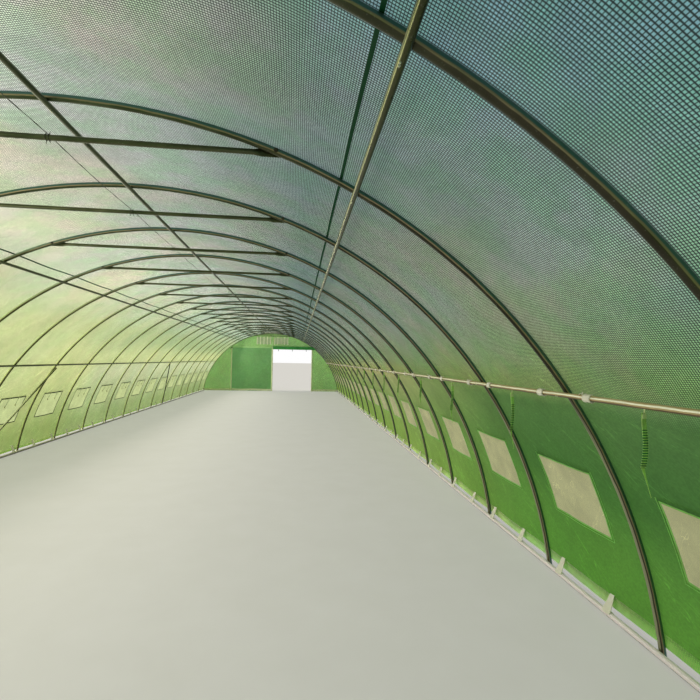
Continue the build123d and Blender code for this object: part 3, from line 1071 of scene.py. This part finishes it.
# Wire ties round each tie bar
knots = Kit()
wire_level = middle("centre_wire").z
chance = random.Random(5)
for place in hoop_places[1:-1]:
    bar = place + tie_side(place) * (hoop_radius + tie_flat_half)
    for shift in (-0.007, 0.006):
        loop = ring_points((shift, bar, tie_level), (1, 0, 0), tie_radius + 0.0016, 0, 360, 17)[:-1]
        knots.tube(loop, 0.0016, 6, closed=True)
    for lean, rise in ((-1, 1), (1, 1), (-1, -1), (1, -1)):
        foot = Vector((lean * 0.006, bar, tie_level + rise * (tie_radius + 0.001)))
        across, along = lean * chance.uniform(0.003, 0.01), chance.uniform(-0.01, 0.01)
        tip = foot + Vector((across, along, rise * chance.uniform(0.006, 0.014)))
        knots.tube([foot, foot.lerp(tip, 0.5) + Vector((0, 0, rise * 0.002)), tip], 0.0013, 5)
knots.piece("wire_knots", dark_wire, "wire")

# Wire along the middle, a little slack between two tie bars
wire = Kit()
wire_low, wire_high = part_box("centre_wire")
wire_points = [Vector((0, wire_low.y, wire_level))]
bars = [place + tie_side(place) * (hoop_radius + tie_flat_half) for place in hoop_places[1:-1]]
stops = [wire_low.y, *bars, wire_high.y]
for number, (low, high) in enumerate(zip(stops, stops[1:])):
    slack = random.Random(60 + number).uniform(0.002, 0.011)
    for step in range(1, 9):
        share = step / 8
        drop = slack * 4 * share * (1 - share)
        wire_points.append(Vector((0, low + (high - low) * share, wire_level - drop)))
wire.tube(wire_points, 0.0017, 6)
wire.piece("middle_wire", dark_wire, "wire", ("centre_wire",))

# Clips that hold the film to the right side rail
rail_clips = Kit()
clip_shift = 0.185
chance = random.Random(9)
for place in hoop_places:
    for hand in (-1, 1):
        along = place + hand * clip_shift + chance.uniform(-0.012, 0.012)
        if abs(along) > film_end - 0.03:
            continue
        centre = Vector((rail.x, along, rail.z))
        turn = math.degrees(rail_turn)
        arc = (turn + 38, turn + 322, 22)
        rail_clips.ring_band(centre, (0, 1, 0), rail_radius + 0.0032, arc, 0.044, 0.0046)
        for edge in (-0.022, 0.022):
            lip_middle = centre + Vector((0, edge, 0))
            lip = ring_points(lip_middle, (0, 1, 0), rail_radius + 0.0052, turn + 40, turn + 320, 22)
            rail_clips.tube(lip, 0.0024, 6)
rail_clips.piece("rail_clips", white_plastic, "pale_tube")

# Loose ends of film at the clips
wisps = Kit()
for place in hoop_places[:-1]:
    for _ in range(2):
        along = place + chance.choice((-1, 1)) * clip_shift + chance.uniform(-0.03, 0.05)
        foot = Vector((rail.x - 0.010, along, rail.z + rail_radius * 0.9))
        lean = Vector((-0.012, -chance.uniform(0.02, 0.05), chance.uniform(0.004, 0.022)))
        if abs(along) > film_end - 0.1:
            continue
        shares = (0, 0.3, 0.6, 1.0)
        points = [foot + lean * share + Vector((0, 0, 0.006 * math.sin(3 * share))) for share in shares]
        wisps.band(points, (1, 0, 0.3), (0, 0.2, 1), [0.007, 0.006, 0.005, 0.002], 0.0009)
wisps.piece("film_ends_at_clips", white_plastic, "pale_tube")

# Tabs from the base rails up to the hems, one of them missing as in the photo
tabs = Kit()
base = middle("right_base_rail")
missing_tab_bay = 1
for side in (-1, 1):
    chance = random.Random(20 + side)
    for place in hoop_places[:-1]:
        for share in (0.35, 0.85):
            along = place + bay * share + chance.uniform(-0.03, 0.03)
            centre = Vector((side * base.x, along, base.z))
            top = film_point(side * (hem_across - 0.085), along, -0.006)
            lean = chance.uniform(-0.012, 0.012)
            if side > 0 and place == hoop_places[missing_tab_bay] and share > 0.5:
                continue
            arc = (200 * side, -70 * side, 12)
            loop = tabs.ring_band(centre, (0, 1, 0), base_radius + 0.0018, arc, 0.05, 0.003)
            for hand, wide in ((-1, 1.0), (1, 0.75)):
                foot = loop[-1] + Vector((side * 0.002 * hand, hand * 0.012, 0))
                head = top + Vector((side * 0.002 * hand, lean + hand * 0.006, -0.01 * (hand + 1)))
                rise = [foot.lerp(head, step / 4) for step in range(5)]
                widths = [part * wide for part in (0.044, 0.044, 0.04, 0.036, 0.028)]
                tabs.band(rise, (-0.15 * side, 1, 0), (-side, -0.1, 0.4), widths, 0.004)
tabs.piece("hem_tabs", white_plastic, "pale_tube")

# Ladder straps that hang under the right side rail
straps, rungs, tips = Kit(), Kit(), Kit()
for number, place in enumerate(window_middles):
    chance = random.Random(90 + number)
    along = place + 0.02 + chance.uniform(-0.05, 0.05)
    top = Vector((rail.x - 0.004, along, rail.z - rail_radius - 0.012))
    length = 0.22 + chance.uniform(-0.03, 0.04)
    lean = chance.uniform(-0.03, 0.02)
    twist = chance.uniform(-0.5, 0.5)
    count = 44
    path, sides_at, outs = [], [], []
    for step in range(count + 1):
        share = step / count
        sway = 0.006 * math.sin(5 * share + number)
        path.append(top + Vector((0.004 * math.sin(4 * share), lean * share + sway, -length * share)))
        angle = 0.2 + twist * share
        sides_at.append(Vector((math.cos(angle), math.sin(angle), 0)))
        outs.append(Vector((-math.sin(angle), math.cos(angle), 0)))
    for hand in (-1, 1):
        line = [p + s * hand * 0.007 for p, s in zip(path, sides_at)]
        straps.band(line[:20], sides_at, outs, 0.005, 0.0014)
        rungs.band(line[19:], sides_at[19:], outs[19:], 0.003, 0.0012)
    for index in range(1, count):
        point, away, out = path[index], sides_at[index], outs[index]
        kit = straps if index < count * 0.3 or index % 2 else rungs
        kit.tube([point - away * 0.0095 - out * 0.001, point + away * 0.0095 - out * 0.001], 0.0021, 5)
    tail = [path[-1] + Vector((0.0, -0.01 * k, -0.024 * k)) for k in range(5)]
    straps.band(tail, sides_at[-1], outs[-1], [0.012, 0.007, 0.004, 0.002, 0.002], 0.0012)
    tip_widths = [0.006, 0.012, 0.017, 0.018, 0.018, 0.016]
    tips.band([p - outs[0] * 0.004 for p in path[:6]], sides_at, outs, tip_widths, 0.0022)
    tips.tube([top, top + Vector((0, 0, 0.014))], 0.0022, 6)
straps.piece("ladder_straps", strap_green, "film")
tips.piece("ladder_strap_tips", pale_tip, "film")
rungs.piece("ladder_rungs", strap_dark, "film")

# Brackets that hold the ends of the gable headers to the end hoops
brackets = Kit()
bracket_level = 1.89
bracket_across = 1.724
bracket_depth = 0.0185
for end in (-1, 1):
    for hand in (-1, 1):
        x = hand * bracket_across
        y = end * (hoop_places[-1] - bracket_depth)
        ends = ((-0.05, 0.002), (0.055, -0.075))
        plate = [Vector((x + hand * out, y, bracket_level + rise)) for out, rise in ends]
        brackets.band(plate, (0, 0, 1), (0, 1, 0), 0.034, 0.004)
        for share in (0.2, 0.8):
            brackets.bolt(plate[0].lerp(plate[1], share) - Vector((0, end * 0.002, 0)), (0, -end, 0), 0.007)
brackets.piece("jamb_brackets", dark_wire, "tube")

# Floor, light and camera
floor_size = 150.0
corners = [(x * floor_size, y * floor_size, -0.001) for x, y in ((-1, -1), (1, -1), (1, 1), (-1, 1))]
floor = mesh_piece("floor", corners, [(0, 1, 2, 3)], smooth=False)
paint = Paint("pale_floor")
grain = paint.noise(paint.place(), 3.0, 4.0)
shown = paint.tint(colour(222, 220, 214), grain, colour(230, 228, 224))
matte = paint.add("BsdfDiffuse", {"Color": shown})
glow = paint.add("Emission", {"Color": shown, "Strength": 0.85})
share = paint.times(paint.seen_ray(), 0.5)
floor.data.materials.append(paint.finish(paint.add("MixShader", {0: share, 1: matte, 2: glow})))

# Sky, and the white backdrop that the camera sees
SKY = 0.42
paint = Paint("studio", bpy.data.worlds)
bpy.context.scene.world = paint.material
soft_light = paint.add("Background", {"Color": (0.94, 0.98, 1.0, 1), "Strength": SKY})
backdrop = paint.add("Background", {"Color": (1, 1, 1, 1)})
paint.finish(paint.add("MixShader", {0: paint.seen_ray(), 1: soft_light, 2: backdrop}), "World")


def light(name, kind, energy, tint):
    """New light in the scene."""
    made = scene_object(name, bpy.data.lights.new(name, kind))
    made.data.energy = energy
    made.data.color = tint
    return made


def stand(thing, place, right, up, ahead):
    """Place and turn of a lamp or camera that looks ahead."""
    thing.matrix_world = Matrix.Translation(place) @ Matrix((right, up, -ahead)).transposed().to_4x4()


# Low sun from the left
SUN_RISE = math.radians(24)
key = light("key", "SUN", 4.4, (1.0, 0.94, 0.82))
key.data.angle = math.radians(8)
key.rotation_mode = "QUATERNION"
key_from = Vector((-math.cos(SUN_RISE), -0.12, math.sin(SUN_RISE)))
key.rotation_quaternion = (-key_from).to_track_quat("-Z", "Y")

# Long soft lamp inside, high on the left, as the sunlit film there
LAMP_PLACE = (-1.35, 0, 1.75)
LAMP_TILT = 0.35
inside = light("inside", "AREA", 170, (1.0, 0.94, 0.84))
inside.data.shape = "RECTANGLE"
inside.data.size = 2 * film_end - 0.4
inside.data.size_y = 0.8
inside.visible_camera = False
lamp_ahead, lamp_up = arch_turned(LAMP_TILT)
stand(inside, LAMP_PLACE, Vector((0, 1, 0)), lamp_up, lamp_ahead)

# Camera
focal_pixels = 455.61
picture_pixels = 700
camera_ahead_of_hoop = 2.0548
yaw, pitch, roll_angle = 0.1148, 0.0222, -0.0189
eye = Vector((1.0827, hoop_places[2] - camera_ahead_of_hoop, 1.4081))
ahead = Vector((math.sin(yaw) * math.cos(pitch), math.cos(yaw) * math.cos(pitch), math.sin(pitch)))
level_right = Vector((math.cos(yaw), -math.sin(yaw), 0))
level_up = level_right.cross(ahead)
right = spoke(level_right, -level_up, roll_angle)
up = spoke(level_up, level_right, roll_angle)
camera_data = bpy.data.cameras.new("camera")
camera_data.sensor_width = 36
camera_data.lens = focal_pixels / picture_pixels * camera_data.sensor_width
camera_data.clip_start = 0.02
camera_data.clip_end = 500
camera = scene_object("camera", camera_data)
stand(camera, eye, right, up, ahead)
bpy.context.scene.camera = camera

bpy.context.scene.view_settings.view_transform = "Standard"
